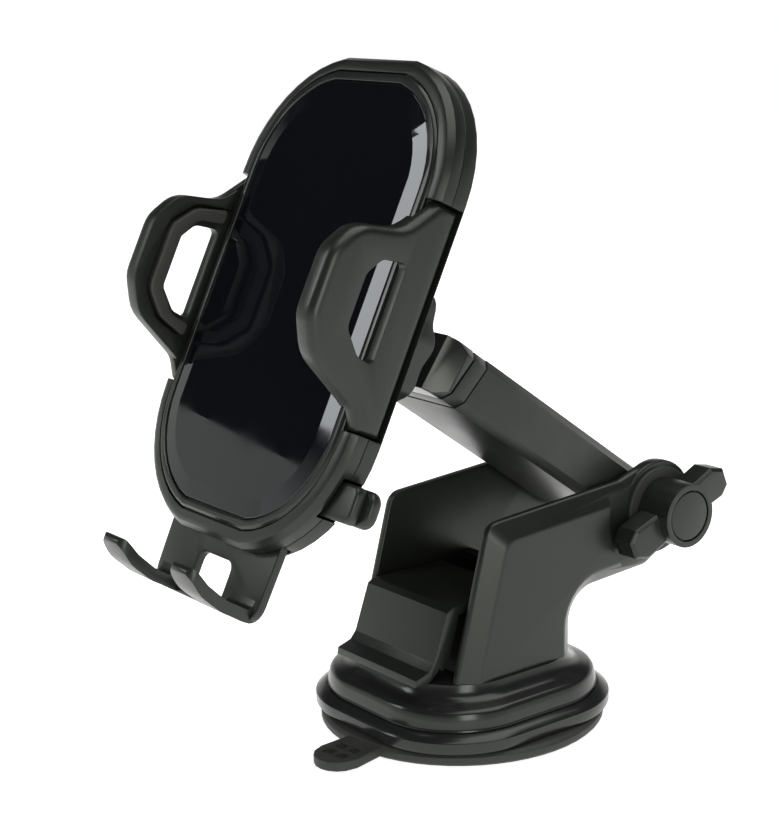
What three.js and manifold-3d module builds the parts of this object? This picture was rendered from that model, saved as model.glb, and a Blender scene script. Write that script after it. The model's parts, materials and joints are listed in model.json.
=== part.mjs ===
// Suction-cup car phone mount with a telescopic arm, a ball joint and a wireless-charging cradle.
// Millimetres, +Z up, origin at the centre of the suction face, front (lever side) towards -Y.
import * as THREE from 'three';
import Module from 'manifold-3d';
import { mergeVertices } from 'three/addons/utils/BufferGeometryUtils.js';

const wasm = await Module();
wasm.setup();

// ---------- driving dimensions ----------
const GAP = 0.3;                 // clearance between pieces that touch
const PAD_R = 37.5;              // suction disc radius
const PAD_EDGE = 3.2;            // disc thickness at its edge
const PAD_CROWN = 5.4;           // disc thickness at its middle
const TAB_WIDTH = 13;            // pull tab
const TAB_REACH = 50.5;          // disc centre to the tab's tip
const TAB_TURN = -82;            // degrees, direction of the tab
const RIM_HALF = 34.8;           // skirt rim, half width of its rounded square
const RIM_ROUND = 25;            // skirt rim, corner radius
const SKIRT_LOW = 3.7;           // skirt's lower edge
const SKIRT_HIGH = 18;           // skirt's top, where the column stands
const SKIRT_WALL = 2.2;
const TROUGH_HALF = 18.8;        // half gap between the side walls
const WALL_DEPTH = 5.4;          // thickness of a side wall
const COLUMN_HALF = TROUGH_HALF + WALL_DEPTH;
const WALL_BEVEL = 4.4;          // width of the bevel round a side wall
const COLUMN_REAR = 19.5;        // column's rear face
const FLOOR_Z = 32;              // floor of the trough, under the lever
const WALL_FRONT_TOP = [-7, 57.5];
const WALL_LEAN = 0.29;          // front edge, mm forward per mm down
const WALL_RISE = 0.06;          // top edge, mm up per mm back
const PIVOT = [50.5, 51];        // Y and Z of the arm's pivot axis
const EAR_R = 12.6;              // round boss at the pivot
const BOLT_R = 3;
const LEVER_HALF = TROUGH_HALF - 2.2;
const LEVER_PIN = [8, FLOOR_Z - 3];
const LEVER_PIN_R = 1.8;
const STEM_R = 4;
const KNOB_R = 8.5;
const EAR_FACE = COLUMN_HALF - 1.8;
const KNOB_OUT = EAR_FACE + 12;  // knob's outer face
const WING_REACH = 18.5;         // knob axis to a wing's tip
const WING_TURN = 22;            // degrees, wings above the horizontal
const ARM_RISE = 36.25;          // degrees, arm above the horizontal
const SLEEVE_HALF = TROUGH_HALF - 0.8;
const SLEEVE_TOP = 6.6;          // sleeve faces above and below the pivot line
const SLEEVE_BASE = -8.2;
const SLEEVE_END = 71.6;         // pivot to the sleeve's end
const SLEEVE_WALL = 2.3;
const SLEEVE_CHAMFER = 2.2;
const COLLAR_LENGTH = 4.8;       // collar on the sleeve's end
const END_SLANT = 10;            // degrees, slant of the sleeve's end
const HEAD_LENGTH = 7;           // arm head beyond the collar
const BALL_DROP = -2.4;          // ball's centre above the pivot line
const BALL_R = 7;
const BALL_STANDOFF = 10.2;      // arm head's end to the ball's centre
const HEAD_START = SLEEVE_END + COLLAR_LENGTH + 0.6;
const HEAD_END = HEAD_START + HEAD_LENGTH;
const BALL_REACH = HEAD_END + BALL_STANDOFF;
const LINER = 0.9;               // thickness of the ball's liners
const LINER_IN = BALL_R + GAP;
const LINER_OUT = LINER_IN + LINER;
const CAVITY = LINER_OUT + GAP;  // radius of the hollow that the liners turn in
const NECK_R = 3.3;
const FLANGE_R = 5.2;            // flange of the ball stud, on the arm head
const NECK_ROOM = 3.5;           // room round the neck for the ball joint to tilt
const CRADLE_LEAN = 27;          // degrees, cradle leaning back
const BALL_BELOW = -2.7;         // ball's centre above the glass centre
const GLASS_HALF_W = 33.3;
const GLASS_HALF_H = 53.9;
const GLASS_FLAT = 12.8;         // half length of the straight ends
const GLASS_SIDE = 29.05;        // half length of the straight sides
const GLASS_THICK = 1.5;
const GLASS_BEVEL = 4.4;
const BEZEL = 2.3;               // width of the ring round the glass
const BODY_GROW = 7;             // cradle body beyond the glass edge, all round
const PARTING_Y = 5.6;           // depth of the line between front frame and rear shell
const SHELL_SIDE_Y = 9.2;        // depth where the back begins to slope
const SHELL_BACK_Y = 15.5;       // depth of the back
const BALL_BEHIND = SHELL_BACK_Y + GAP + CAVITY + 3;
const SHELL_WALL = 2;
const CLAMP_THICK = 4;
const CLAMP_HALF_Z = 27.4;       // half height of the clamp arm's base
const CLAMP_FRONT = -22;         // clamp arm's front edge, ahead of the glass
const PAD_THICK = 1.8;           // rubber pad on a clamp arm
const RACK_Y = [5.9, 7.9];       // depth of the racks and the pinion
const PINION_TEETH = 10;
const PINION_PITCH_R = 5;
const RACK_ROOT = PINION_PITCH_R + 1.3; // pinion axis to the roots of a rack's teeth
const RACK_BACK = 4;             // rack's strip behind its teeth
const BUTTON_Z = [-47.5, -38];
const BUTTON_Y = [3.9, 10.4];
const BUTTON_IN = 29;            // button's inner end, inside the body
const BUTTON_OUT = GLASS_HALF_W + BODY_GROW + 6.7;
const BUTTON_ROUND = 2;
const FOOT_HALF = 23.5;
const FOOT_Y = [5.9, 8.2];
const FOOT_LOW = -76.5;
const PRONG_X = 15;              // centre of each prong
const PRONG_HALF = 5;
const SOCKET_R = CAVITY + 4.9;
const NUT_R = SOCKET_R + 5.6;    // ring nut, mean radius
const NUT_LOBES = 10;
const NUT_Y = [SHELL_BACK_Y + 4, BALL_BEHIND + CAVITY - 3.8];
const CHANNEL_X = GLASS_HALF_W + BODY_GROW - CLAMP_THICK - GAP;
const SCREWS = [[17, 34], [-17, 34], [17, -34], [-17, -34]];
const COIL_R = [10, 21];
const COIL_Y = [1.9, 3.1];
const FERRITE_R = 22.5;
const FERRITE_Y = [3.4, 4.2];
const BOARD_HALF = 18;           // circuit board
const BOARD_Y = [9.4, 10.4];
const BOARD_Z = [15, 42];
const PORT_HALF = 4.6;           // charging socket
const PORT_Y = [9.9, 12.5];
const PORT_Z = [-57.4, -50];

const rad = THREE.MathUtils.degToRad;

// ---------- materials ----------
const paint = (color, roughness, metalness = 0) => new THREE.MeshStandardMaterial({ color, roughness,
  metalness });
const satin = paint(0x2c2e2c, 0.42);
const gloss = paint(0x1c1d1e, 0.2);
const rubber = paint(0x232422, 0.8);
const glass = paint(0x0b0c10, 0.05);
const steel = paint(0xa8abad, 0.35, 1);
const copper = paint(0xb5703c, 0.4, 1);
const board = paint(0x20502f, 0.6);

// ---------- solids ----------
function solid(geometry) {
  const g = geometry.clone();
  for (const name of Object.keys(g.attributes)) if (name !== 'position') g.deleteAttribute(name);
  const merged = mergeVertices(g, 1e-4);
  const vertProperties = new Float32Array(merged.attributes.position.array);
  const triVerts = new Uint32Array(merged.index.array);
  return new wasm.Manifold(new wasm.Mesh({ numProp: 3, vertProperties, triVerts }));
}

function geometryOf(manifold) {
  const mesh = manifold.getMesh();
  const g = new THREE.BufferGeometry();
  g.setAttribute('position', new THREE.BufferAttribute(new Float32Array(mesh.vertProperties), 3));
  g.setIndex(new THREE.BufferAttribute(new Uint32Array(mesh.triVerts), 1));
  g.computeVertexNormals();
  return g;
}

const AXIS_MATRIX = {
  x: new THREE.Matrix4().set(0, 0, 1, 0, 1, 0, 0, 0, 0, 1, 0, 0, 0, 0, 0, 1),
  y: new THREE.Matrix4().set(0, 1, 0, 0, 0, 0, 1, 0, 1, 0, 0, 0, 0, 0, 0, 1),
  z: new THREE.Matrix4(),
};

// A prism along x (outline in y, z), y (outline in x, z) or z (outline in x, y), with an optional inset bevel.
function prism(axis, outline, from, to, bevel = 0, bevelDepth = bevel) {
  const points = outline.map(([a, b]) => (axis === 'y' ? new THREE.Vector2(b, a) : new THREE.Vector2(a,
    b)));
  const g = new THREE.ExtrudeGeometry(new THREE.Shape(points), {
    depth: to - from - 2 * bevelDepth, bevelEnabled: bevel > 0, bevelSize: bevel, bevelOffset: -bevel,
    bevelThickness: bevelDepth, bevelSegments: 1, curveSegments: 6,
  });
  g.translate(0, 0, from + bevelDepth);
  return solid(g.applyMatrix4(AXIS_MATRIX[axis]));
}

function box([x0, y0, z0], [x1, y1, z1]) {
  const g = new THREE.BoxGeometry(x1 - x0, y1 - y0, z1 - z0);
  return solid(g.translate((x0 + x1) / 2, (y0 + y1) / 2, (z0 + z1) / 2));
}

function rod(axis, radius, from, to, [a, b] = [0, 0], segments = 32) {
  const g = new THREE.CylinderGeometry(radius, radius, to - from, segments).rotateX(Math.PI / 2);
  g.translate(0, 0, (from + to) / 2).applyMatrix4(AXIS_MATRIX[axis]);
  const place = { x: [0, a, b], y: [a, 0, b], z: [a, b, 0] }[axis];
  return solid(g.translate(...place));
}

// A solid of revolution about +Y of the cradle or the Z of the base, from [radius, height] points.
function lathe(axis, profile, [a, b] = [0, 0], segments = 40) {
  const g = new THREE.LatheGeometry(profile.map(([r, h]) => new THREE.Vector2(r, h)), segments);
  if (axis === 'z') g.rotateX(Math.PI / 2).translate(a, b, 0);
  else g.translate(a, 0, b);
  return solid(g);
}

function sphere(radius, [x, y, z], segments = 32) {
  return solid(new THREE.SphereGeometry(radius, segments, segments / 2).translate(x, y, z));
}

// A closed skin through rings of matching points, with a fan at each end.
function loft(rings) {
  const n = rings[0].length;
  const vertices = rings.flat().flat();
  const centre = ring => ring.reduce((s, p) => s.map((v, i) => v + p[i] / n), [0, 0, 0]);
  vertices.push(...centre(rings[0]), ...centre(rings.at(-1)));
  const first = rings.length * n;
  const index = [];
  for (let r = 0; r + 1 < rings.length; r++) {
    for (let i = 0; i < n; i++) {
      const a = r * n + i, b = r * n + (i + 1) % n;
      index.push(a, b, b + n, a, b + n, a + n);
    }
  }
  for (let i = 0; i < n; i++) {
    const j = (i + 1) % n, last = (rings.length - 1) * n;
    index.push(first, j, i, first + 1, last + i, last + j);
  }
  const g = new THREE.BufferGeometry();
  g.setAttribute('position', new THREE.Float32BufferAttribute(vertices, 3));
  g.setIndex(signedVolume(vertices, index) > 0 ? index : index.reverse());
  return solid(g);
}

function signedVolume(v, index) {
  const p = i => new THREE.Vector3(v[3 * i], v[3 * i + 1], v[3 * i + 2]);
  let sum = 0;
  for (let t = 0; t < index.length; t += 3) sum += p(index[t]).dot(p(index[t + 1]).cross(p(index[t + 2])));
  return sum;
}

const join = (...parts) => parts.reduce((a, b) => a.add(b));
const cut = (from, ...tools) => tools.reduce((a, b) => a.subtract(b), from);

// Outline points of an arc, angles in degrees.
function arc(cx, cy, r, from, to, steps) {
  return Array.from({ length: steps + 1 }, (_, i) => {
    const t = rad(from + (to - from) * i / steps);
    return [cx + r * Math.cos(t), cy + r * Math.sin(t)];
  });
}

function roundedRect(hx, hy, r, steps = 6) {
  return [...arc(hx - r, hy - r, r, 0, 90, steps), ...arc(r - hx, hy - r, r, 90, 180, steps),
    ...arc(r - hx, r - hy, r, 180, 270, steps), ...arc(hx - r, r - hy, r, 270, 360, steps)];
}

function piece(parent, name, body, material, origin = [0, 0, 0]) {
  const mesh = new THREE.Mesh(geometryOf(body), material);
  mesh.name = name;
  mesh.position.set(...origin);
  parent.add(mesh);
}

const mount = new THREE.Group();

// ---------- suction base ----------
const rimAt = (inset, z, round = RIM_ROUND - inset) =>
  roundedRect(RIM_HALF - inset, RIM_HALF - inset, round).map(([x, y]) => [x, y, z]);
const STEM_FOOT_Z = PAD_CROWN + 2.6;

function suctionPad() {
  const disc = lathe('z', [[0, 0], [PAD_R - 0.8, 0], [PAD_R, 0.8], [PAD_R, PAD_EDGE - 0.8],
    [PAD_R - 1, PAD_EDGE], [PAD_R - 8, PAD_EDGE + 0.6], [14, PAD_CROWN], [0, PAD_CROWN]], [0, 0], 56);
  const half = TAB_WIDTH / 2, start = PAD_R - 4, end = TAB_REACH - half + 1.5;
  const flap = [[start, -half + 1], [end, -half], ...arc(end, 0, half, -60, 60, 6).map(([x, y]) => [x, y]),
    [end, half], [start, half - 1]];
  const cell = (x, y) => box([x, y, -1], [x + 3.1, y + 3.1, PAD_EDGE + 1]);
  const cells = [[40.5, 0.6], [40.5, -3.7], [44.8, 0.6], [44.8, -3.7]].map(([x, y]) => cell(x, y));
  const tab = cut(prism('z', flap, 0.4, PAD_EDGE - 0.3), ...cells);
  return disc.add(tab.rotate([0, 0, TAB_TURN]));
}

function suctionStem() {
  const foot = rod('z', 9, STEM_FOOT_Z, STEM_FOOT_Z + 1.6);
  const post = rod('z', STEM_R, STEM_FOOT_Z + 1, LEVER_PIN[1] - LEVER_PIN_R - 2.6);
  return foot.add(post);
}

function baseSkirt() {
  const shell = loft([rimAt(1, SKIRT_LOW), rimAt(0, SKIRT_LOW + 1.2), rimAt(0, SKIRT_LOW + 3.4),
    rimAt(0.8, SKIRT_LOW + 4.6), rimAt(3.6, SKIRT_LOW + 4.8), rimAt(3.6, SKIRT_HIGH - 5.6),
    rimAt(5.2, SKIRT_HIGH - 3.4), rimAt(8.2, SKIRT_HIGH - 2.4), rimAt(9.8, SKIRT_HIGH)]);
  const inside = loft([rimAt(3.4, SKIRT_LOW - 1), rimAt(3.4, SKIRT_LOW + 2.6),
    rimAt(3.6 + SKIRT_WALL, SKIRT_LOW + 3), rimAt(3.6 + SKIRT_WALL, SKIRT_HIGH - 6),
    rimAt(8.2, SKIRT_HIGH - 4.4)]);
  return cut(shell, inside, rod('z', STEM_R + GAP, SKIRT_LOW, SKIRT_HIGH + 1));
}

const wallFrontAt = z => WALL_FRONT_TOP[0] - WALL_LEAN * (WALL_FRONT_TOP[1] - z);
const wallTopAt = y => WALL_FRONT_TOP[1] + WALL_RISE * (y - WALL_FRONT_TOP[0]);

function wallOutline() {
  const [py, pz] = PIVOT;
  const under = pz - 16.2;
  const topMeet = wallTopAt(py - 12);
  const low = SKIRT_HIGH - WALL_BEVEL - 1;
  return [[wallFrontAt(low), low], [COLUMN_REAR, low], [COLUMN_REAR + 0.4, under - 8],
    ...arc(COLUMN_REAR + 9, under - 8.4, 8.4, 165, 95, 4), [py - 1, under + 0.5],
    ...arc(py, pz, EAR_R, -62, 110, 8), [py - 12, topMeet], WALL_FRONT_TOP];
}

function sideWall(sign) {
  const depth = COLUMN_HALF - TROUGH_HALF;
  const plate = prism('x', wallOutline(), TROUGH_HALF - depth, COLUMN_HALF, WALL_BEVEL, depth * 0.7);
  const inner = box([TROUGH_HALF - depth - 1, -60, 0], [TROUGH_HALF, 90, 90]);
  const boss = rod('x', EAR_R, TROUGH_HALF, COLUMN_HALF - 1.8, PIVOT);
  const seat = rod('x', WING_REACH + 1, COLUMN_HALF - 1.8, COLUMN_HALF + 1, PIVOT, 40);
  const below = box([0, -60, 0], [60, 90, SKIRT_HIGH]);
  const wall = cut(plate, inner, seat, below).add(boss);
  return sign > 0 ? wall : wall.mirror([1, 0, 0]);
}

function baseHousing() {
  const front = z => wallFrontAt(z) + 5;
  const core = prism('x', [[front(SKIRT_HIGH), SKIRT_HIGH], [COLUMN_REAR, SKIRT_HIGH],
    [COLUMN_REAR + 0.3, FLOOR_Z], [front(FLOOR_Z), FLOOR_Z]], -TROUGH_HALF - 0.5, TROUGH_HALF + 0.5);
  const pocket = box([-9, LEVER_PIN[0] - 9, SKIRT_HIGH + 2], [9, LEVER_PIN[0] + 9, FLOOR_Z + 1]);
  const web = box([-TROUGH_HALF - 0.5, COLUMN_REAR - 3.2, FLOOR_Z - 1],
    [TROUGH_HALF + 0.5, COLUMN_REAR + 0.3, FLOOR_Z + 4.5]);
  return cut(join(sideWall(1), sideWall(-1), core, web), pocket,
    rod('z', STEM_R + GAP, SKIRT_HIGH - 1, FLOOR_Z),
    rod('x', LEVER_PIN_R + 0.05, -14, 14, LEVER_PIN, 20),
    rod('x', BOLT_R + GAP, -COLUMN_HALF - 2, COLUMN_HALF + 2, PIVOT));
}

function suctionLever() {
  const [py, pz] = LEVER_PIN;
  const top = FLOOR_Z + 4.4, front = wallFrontAt(FLOOR_Z);
  const plate = prism('x', [[py - 1, top - 2], [py - 1, top], [front - 1.2, top + 0.2], [front - 3.2,
    top - 0.8],
    [front - 7.8, top - 13], [front - 9.6, top - 15], [front - 13.6, top - 16.2], [front - 14, top - 18],
    [front - 9.2, top - 17.6], [front - 6.4, top - 15.4], [front - 1.5, top - 2]], -LEVER_HALF, LEVER_HALF);
  const cheek = x => join(
    prism('x', [[py - 3.4, pz], [py + 3.4, pz], [py - 1, top - 1.4], [py - 8, top - 1.4]], x, x + 2.4),
    rod('x', 3.4, x, x + 2.4, LEVER_PIN, 24));
  const flange = x => prism('x', [[front + 1, top - 0.8], [front - 2.6, top - 0.8], [front - 7.4,
    top - 13.4],
    [front - 5, top - 15.8], [front - 3, top - 13.4]], x, x + 1.5);
  return cut(join(plate, cheek(4.6), cheek(-7), flange(LEVER_HALF - 1.5), flange(-LEVER_HALF)),
    rod('x', LEVER_PIN_R + 0.05, -10, 10, LEVER_PIN, 20));
}

function buildBase() {
  piece(mount, 'suction_pad', suctionPad(), rubber);
  piece(mount, 'suction_stem', suctionStem(), steel);
  piece(mount, 'base_skirt', baseSkirt(), gloss);
  piece(mount, 'base_housing', baseHousing(), satin);
  piece(mount, 'suction_lever', suctionLever(), satin);
  piece(mount, 'lever_pin', rod('x', LEVER_PIN_R, -13.5, 13.5, LEVER_PIN, 20), steel);
}

// ---------- pivot hardware ----------
function pivotBolt() {
  const shank = rod('x', BOLT_R, -EAR_FACE - 1, KNOB_OUT - 6, PIVOT);
  return shank.add(rod('x', 6.2, -EAR_FACE - 3.4, -EAR_FACE - 0.4, PIVOT, 6));
}

function boltCap() {
  const shell = rod('x', 9.5, -EAR_FACE - 4.8, -EAR_FACE, PIVOT);
  return cut(shell, rod('x', 7, -EAR_FACE - 3.6, -EAR_FACE + 1, PIVOT));
}

const ring = (outer, inner, from, to) => cut(rod('x', outer, from, to, PIVOT), rod('x', inner,
  from - 1, to + 1, PIVOT));

function clampKnob() {
  const [py, pz] = PIVOT;
  const inner = EAR_FACE + 1.5;
  const wing = prism('x', [[4, -4.2], [WING_REACH - 3, -4.6], [WING_REACH, -2.6], [WING_REACH, 2.4],
    [WING_REACH - 4, 5], [4, 4.4]], inner, inner + 7.4, 0.8);
  const pair = wing.add(wing.rotate([180, 0, 0])).rotate([WING_TURN, 0, 0]).translate([0, py, pz]);
  const hub = rod('x', KNOB_R, inner, KNOB_OUT, PIVOT, 40);
  return cut(join(hub, pair), rod('x', KNOB_R - 1.6, KNOB_OUT - 1.2, KNOB_OUT + 1, PIVOT, 40),
    rod('x', 5.6, KNOB_OUT - 8, KNOB_OUT, PIVOT, 6), rod('x', BOLT_R + GAP, inner - 1, KNOB_OUT, PIVOT));
}

function buildPivot() {
  piece(mount, 'pivot_bolt', pivotBolt(), steel);
  piece(mount, 'bolt_cap', boltCap(), satin);
  piece(mount, 'washer_right', ring(7.6, BOLT_R + GAP, TROUGH_HALF - 1.2, TROUGH_HALF - 0.3), rubber);
  piece(mount, 'washer_left', ring(7.6, BOLT_R + GAP, 0.3 - TROUGH_HALF, 1.2 - TROUGH_HALF), rubber);
  piece(mount, 'knob_washer', ring(EAR_R - 1.4, BOLT_R + GAP, EAR_FACE, EAR_FACE + 1.2), rubber);
  piece(mount, 'clamp_knob', clampKnob(), satin);
  piece(mount, 'knob_nut', cut(rod('x', 5.2, KNOB_OUT - 7.6, KNOB_OUT - 3.2, PIVOT, 6),
    rod('x', BOLT_R + 0.05, KNOB_OUT - 9, KNOB_OUT, PIVOT)), steel);
  piece(mount, 'knob_cap', rod('x', KNOB_R - 1.9, KNOB_OUT - 1.1, KNOB_OUT - 0.1, PIVOT, 40), satin);
}

// ---------- arm, in its own frame: origin at the pivot, tip towards -Y, Z square to the arm ----------
const arm = new THREE.Group();
arm.position.set(0, ...PIVOT);
arm.rotation.x = rad(-ARM_RISE);
mount.add(arm);

function armSection(grow) {
  const w = SLEEVE_HALF + grow, top = SLEEVE_TOP + grow, low = SLEEVE_BASE - grow, c = SLEEVE_CHAMFER;
  return [[-w + c, low], [w - c, low], [w, low + c], [w, top - c], [w - c, top], [-w + c, top], [-w,
    top - c],
    [-w, low + c]];
}

// A stretch of the arm's section between two slanted ends, given by their distance from the pivot.
function armStretch(near, far, grow = 0, slantNear = END_SLANT) {
  const shift = (distance, z, slant) => -distance - Math.tan(rad(slant)) * -z;
  const side = [[shift(near, -20, slantNear), -20], [shift(far, -20, END_SLANT), -20],
    [shift(far, 20, END_SLANT), 20], [shift(near, 20, slantNear), 20]];
  return prism('y', armSection(grow), -far - 10, -near + 10).intersect(prism('x', side, -40, 40));
}

const BAR_TAIL = 15;
const inBar = (w, z0, z1, near, far) => box([-w, -far, z0], [w, -near, z1]);

function armSleeve() {
  const round = [[-SLEEVE_END - 10, SLEEVE_BASE], [0, SLEEVE_BASE], ...arc(0, 0, -SLEEVE_BASE, -90, 50, 8),
    [-1, SLEEVE_TOP], [-SLEEVE_END - 10, SLEEVE_TOP]];
  const body = armStretch(-12, SLEEVE_END, 0, 0).intersect(prism('x', round, -40, 40));
  const bore = inBar(SLEEVE_HALF - SLEEVE_WALL, SLEEVE_BASE + SLEEVE_WALL, SLEEVE_TOP - SLEEVE_WALL,
    BAR_TAIL - 4, SLEEVE_END + 10);
  const seat = x => rod('x', 8.2, x, x + 2);
  return cut(body, bore, rod('x', BOLT_R + GAP, -TROUGH_HALF, TROUGH_HALF), seat(TROUGH_HALF - 1.5),
    seat(-TROUGH_HALF - 0.5));
}

function sleeveCollar() {
  const bore = inBar(SLEEVE_HALF - SLEEVE_WALL, SLEEVE_BASE + SLEEVE_WALL, SLEEVE_TOP - SLEEVE_WALL,
    SLEEVE_END - 10, HEAD_START + 5);
  return cut(armStretch(SLEEVE_END + GAP, SLEEVE_END + COLLAR_LENGTH, -0.15), bore);
}

function innerArm() {
  const g = SLEEVE_WALL + GAP + 0.1;
  const bar = inBar(SLEEVE_HALF - g, SLEEVE_BASE + g, SLEEVE_TOP - g, BAR_TAIL, HEAD_START - 2);
  return cut(bar, inBar(SLEEVE_HALF - g - 5, SLEEVE_BASE + g + 2, SLEEVE_TOP, BAR_TAIL + 4,
    HEAD_START - 12));
}

function armHead() {
  const end = HEAD_END, w = SLEEVE_HALF;
  const plan = [[-w, -HEAD_START + 12], [w, -HEAD_START + 12], [w, -HEAD_START - 1.6], [w - 4, -end],
    [4 - w, -end], [-w, -HEAD_START - 1.6]];
  const body = armStretch(HEAD_START, end + 4).intersect(prism('z', plan, -30, 30));
  const tongue = inBar(SLEEVE_HALF - 6, SLEEVE_BASE + 5, SLEEVE_TOP - 5, HEAD_START - 1.6, HEAD_START + 1);
  return join(body, tongue);
}

function ballStud() {
  const end = HEAD_END;
  const centre = [0, -BALL_REACH, BALL_DROP];
  return join(sphere(BALL_R, centre), rod('y', NECK_R, -BALL_REACH, -end - 1.5 * GAP, [0, BALL_DROP], 24),
    rod('y', FLANGE_R, -end - 2 * GAP, -end - GAP, [0, BALL_DROP], 24));
}

function buildArm() {
  piece(arm, 'arm_sleeve', armSleeve(), satin);
  piece(arm, 'sleeve_collar', sleeveCollar(), satin);
  piece(arm, 'inner_arm', innerArm(), satin);
  piece(arm, 'arm_head', armHead(), gloss);
  piece(arm, 'ball_stud', ballStud(), steel);
}

// ---------- cradle, in its own frame: origin at the middle of the glass face, Y going back ----------
const cradle = new THREE.Group();
const lean = rad(-CRADLE_LEAN);
const armFrame = new THREE.Vector3(0, -BALL_REACH, BALL_DROP).applyAxisAngle(new THREE.Vector3(1, 0,
  0), rad(-ARM_RISE));
const ballPlace = armFrame.add(arm.position);
const toBall = new THREE.Vector3(0, BALL_BEHIND, BALL_BELOW).applyAxisAngle(new THREE.Vector3(1, 0, 0),
  lean);
cradle.position.copy(ballPlace).sub(toBall);
cradle.rotation.x = lean;
mount.add(cradle);

const BALL = [0, BALL_BEHIND, BALL_BELOW];
const AXIS_XZ = [0, BALL_BELOW];

// The body's outline in x, z, grown by `grow` from the glass edge: straight sides, big arcs, flat ends.
function outline(grow) {
  const rise = GLASS_HALF_H - GLASS_SIDE, run = GLASS_HALF_W - GLASS_FLAT;
  const r = (run * run + rise * rise) / (2 * run);
  const cx = GLASS_HALF_W - r, R = r + grow;
  const top = THREE.MathUtils.radToDeg(Math.asin((rise + grow) / R));
  const quarter = arc(cx, GLASS_SIDE, R, 0, top, 10);
  const left = quarter.map(([x, z]) => [-x, z]).reverse();
  const upper = [...quarter, ...left];
  return [...upper, ...upper.map(([x, z]) => [-x, -z])];
}

const layer = (grow, y) => outline(grow).map(([x, z]) => [x, y, z]);
const slab = (grow, from, to) => prism('y', outline(grow), from, to);

function frontFrame() {
  const skin = loft([layer(BODY_GROW - 2.8, 0.7), layer(BODY_GROW - 1.4, 1.1), layer(BODY_GROW - 0.2, 2.6),
    layer(BODY_GROW, PARTING_Y - 0.2)]);
  const seat = slab(BEZEL + 2 * GAP, -1, GLASS_THICK + GAP);
  return cut(skin, seat, slab(-5, 0, 9), slab(BODY_GROW - SHELL_WALL, 3.4, 9), ...clampNotches(-1, 9),
    buttonNotch());
}

// The side recesses that hold the clamp arms' bases.
function clampNotches(from, to) {
  const notch = box([CHANNEL_X, from, -CLAMP_HALF_Z - GAP], [60, to, CLAMP_HALF_Z + GAP]);
  return [notch, notch.mirror([1, 0, 0])];
}

const buttonNotch = () => box([BUTTON_IN - 3, BUTTON_Y[0] - GAP, BUTTON_Z[0] - GAP],
  [60, BUTTON_Y[1] + GAP, BUTTON_Z[1] + GAP]);

function rearShell() {
  const skin = loft([layer(BODY_GROW, PARTING_Y), layer(BODY_GROW + 0.2, SHELL_SIDE_Y),
    layer(BODY_GROW - 3.5, SHELL_SIDE_Y + 2.8), layer(-3, SHELL_BACK_Y - 1), layer(-12, SHELL_BACK_Y)]);
  const w = SHELL_WALL;
  const hollow = loft([layer(BODY_GROW - w, PARTING_Y - 1), layer(BODY_GROW - w, SHELL_SIDE_Y - 0.4),
    layer(BODY_GROW - w - 3.2, SHELL_SIDE_Y + 2), layer(-4 - w, SHELL_BACK_Y - w - 0.6),
    layer(-12, SHELL_BACK_Y - w)]);
  const inWall = box([CHANNEL_X - 1.6, PARTING_Y, -CLAMP_HALF_Z - 2], [CHANNEL_X, SHELL_SIDE_Y + 2.4,
    CLAMP_HALF_Z + 2]);
  const floor = box([CHANNEL_X - 1, SHELL_SIDE_Y, -CLAMP_HALF_Z - 2], [CHANNEL_X + 3,
    SHELL_SIDE_Y + 1.4, CLAMP_HALF_Z + 2]);
  const side = join(inWall, floor).intersect(skin);
  const slotHalf = RACK_ROOT + RACK_BACK + 0.7;
  const rackSlot = box([-60, RACK_Y[0] - GAP, -slotHalf], [60, RACK_Y[1] + GAP, slotHalf]);
  const footSlot = box([-FOOT_HALF - GAP, PARTING_Y - 1, -80], [FOOT_HALF + GAP, FOOT_Y[1] + GAP, -50]);
  const shell = join(cut(skin, hollow), side, side.mirror([1, 0, 0]));
  const post = rod('y', 1.8, RACK_Y[1] + GAP, SHELL_BACK_Y - 1, [0, 0], 20);
  return cut(join(shell, post), ...clampNotches(0, SHELL_SIDE_Y), rackSlot, footSlot, buttonNotch(),
    box([-PORT_HALF - GAP, PORT_Y[0] - GAP, -80], [PORT_HALF + GAP, PORT_Y[1] + GAP, PORT_Z[1]]),
    ...SCREWS.map(at => rod('y', SCREW_R + GAP, SHELL_BACK_Y - 1.2, 20, at, 20)));
}

const SCREW_R = 2.1;
const caseScrew = at => rod('y', SCREW_R, SHELL_BACK_Y - 0.9, SHELL_BACK_Y - 0.2, at, 20);

function glassPanel() {
  return loft([layer(-GLASS_BEVEL, 0), layer(-0.2, 0.6), layer(0, 0.8), layer(0, GLASS_THICK)]);
}

function bezelRing() {
  const skin = loft([layer(BEZEL - 0.8 + GAP, 0.3), layer(BEZEL + GAP, 0.9), layer(BEZEL + GAP,
    GLASS_THICK)]);
  return cut(skin, slab(GAP, -1, 5));
}

// Side view of a clamp arm, in y, z.
const CLAMP_SIDE = [[SHELL_SIDE_Y - GAP, -CLAMP_HALF_Z], [1.6, -CLAMP_HALF_Z], [-0.8, -23.6], [-6.5, -19.8],
  [-15, -16.2], [-19.4, -13.2], [CLAMP_FRONT + 0.4, -9.8], [CLAMP_FRONT, -7], [CLAMP_FRONT, 7.6],
  [CLAMP_FRONT + 0.9, 11], [-18.6, 14.4], [-14.6, 16.4], [-9.8, 17.8], [-4.4, 19.6], [-0.8, 22.4],
    [1.8, 26],
  [2.4, CLAMP_HALF_Z], [SHELL_SIDE_Y - GAP, CLAMP_HALF_Z]];
const CLAMP_WINDOW = [[-0.6, -12.2], [-0.6, 11.8], [-3.4, 11.8], [-10.6, 9.2], [-12.4, 7], [-12.4,
  -7.4], [-9.8, -9.6],
  [-3.8, -11.8]];
const PAD_SIDE = [[-0.9, -17.6], [-10, -14.4], [-15, -12], [-17, -8.4], [-17, 7.4], [-15, 11.4], [-10,
  14.4],
  [-0.9, 17.4], [-0.9, 13], [-9, 11], [-13.2, 8], [-13.2, -8], [-9.6, -11.2], [-0.9, -13.4]];
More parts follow.
